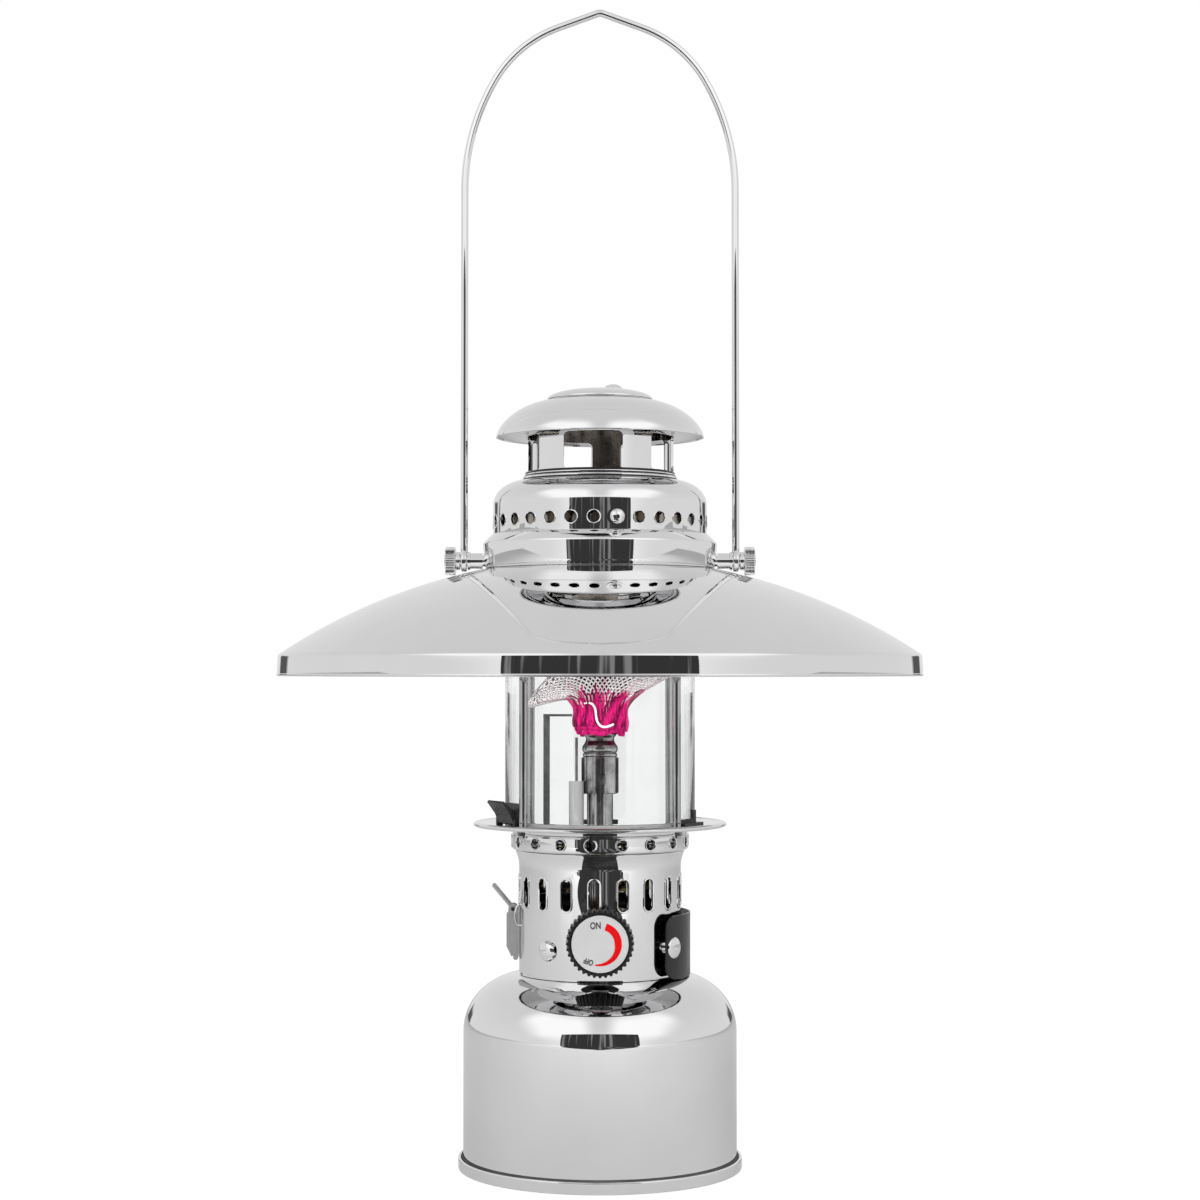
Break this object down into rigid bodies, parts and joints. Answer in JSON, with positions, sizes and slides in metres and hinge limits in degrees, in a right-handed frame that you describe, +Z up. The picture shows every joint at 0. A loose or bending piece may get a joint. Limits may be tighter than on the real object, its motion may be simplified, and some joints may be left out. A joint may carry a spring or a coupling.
{
  "type": "gas lantern",
  "caption": "Chromed table lantern that burns cartridge gas in a knitted mantle behind a glass, with a wide top shade, a vented hood and a wire carrying bail.",
  "frame": {"origin": "centre of the base's underside, on the surface that the lantern stands on", "axes": "+Z up along the lantern's axis to the bail's peak, -Y towards the control knob, +X to the right"},
  "size_m": [0.26, 0.26, 0.469],
  "materials": {
    "chrome": "mirror polished",
    "shade_chrome": "polished",
    "brass": "turned",
    "burner_steel": "heat tinted",
    "black_plastic": "satin moulded",
    "red_plastic": "moulded",
    "dial_face": "satin",
    "dial_red": "printed",
    "black_enamel": "satin enamel",
    "cartridge_paint": "gloss paint",
    "rubber": "matt",
    "ceramic": "unglazed",
    "glass": "clear",
    "mantle_knit": "open knit",
    "tie_cord": "twisted cord"
  },
  "bodies": {
    "lantern": {"bottom_cover": "chrome", "base_shell": "chrome", "gland_nut": "chrome", "neck_shell": "chrome", "neck_screws": "chrome", "label_spacers": "chrome", "label_screws": "chrome", "latch_bracket": "chrome", "latch_pin": "chrome", "neck_collar": "chrome", "gallery_plate": "chrome", "support_rods": "chrome", "rod_nuts": "chrome", "top_ring": "chrome", "hood_lower": "chrome", "hood_upper": "chrome", "hood_screws": "chrome", "chimney_ring": "chrome", "cap_spacer": "chrome", "cap": "chrome", "cap_disc": "chrome", "cap_rivet": "chrome", "bail_studs": "chrome", "bail_washers": "chrome", "shade": "shade_chrome", "piercing_needle": "brass", "valve_body": "brass", "gas_jet": "brass", "mixing_tube": "burner_steel", "burner_sleeve": "burner_steel", "burner_head": "burner_steel", "spark_electrode": "burner_steel", "ground_electrode": "burner_steel", "heat_shield": "burner_steel", "foot_ring": "burner_steel", "piezo_body": "black_plastic", "label_plate": "black_enamel", "glass_clips": "black_enamel", "glass_latch_ears": "black_enamel", "gas_cartridge": "cartridge_paint", "cartridge_seal": "rubber", "glass_gasket": "rubber", "ignition_lead": "rubber", "electrode_ceramic": "ceramic", "glass_cylinder": "glass", "mantle": "mantle_knit", "mantle_tie": "tie_cord"},
    "bail": {"bail": "chrome"},
    "knob": {"control_knob": "black_plastic", "knob_dial": "dial_face", "dial_mark": "dial_red", "valve_spindle": "brass"},
    "neck_latch": {"latch_lever": "chrome"},
    "igniter": {"igniter_button": "red_plastic"},
    "glass_latch": {"glass_latch": "black_enamel"},
    "left_nut": {"thumb_nut_left": "chrome"},
    "right_nut": {"thumb_nut_right": "chrome"}
  },
  "joints": [
    {"name": "bail_swing", "type": "hinge", "parent": "lantern", "child": "bail", "pos_m": [0, 0, 0.2438], "axis": [1, 0, 0], "range_deg": [-98, 98]},
    {"name": "knob_turn", "type": "hinge", "parent": "lantern", "child": "knob", "pos_m": [0, -0.04, 0.0944], "axis": [0, -1, 0], "range_deg": [0, 175]},
    {"name": "latch_lift", "type": "hinge", "parent": "lantern", "child": "neck_latch", "pos_m": [-0.035, 0, 0.1036], "axis": [0, -1, 0], "range_deg": [-36, 50]},
    {"name": "igniter_press", "type": "slide", "parent": "lantern", "child": "igniter", "axis": [0, -1, 0], "range_m": [0, 0.004], "stiffness_N_per_m": 400},
    {"name": "glass_latch_tip", "type": "hinge", "parent": "lantern", "child": "glass_latch", "pos_m": [-0.03637, -0.021, 0.1399], "axis": [0.5, -0.866, 0], "range_deg": [0, 30], "stiffness_Nm_per_rad": 0.08},
    {"name": "left_nut_turn", "type": "hinge", "parent": "lantern", "child": "left_nut", "pos_m": [-0.06, 0, 0.2438], "axis": [-1, 0, 0], "continuous": true},
    {"name": "right_nut_turn", "type": "hinge", "parent": "lantern", "child": "right_nut", "pos_m": [0.06, 0, 0.2438], "axis": [1, 0, 0], "continuous": true}
  ]
}
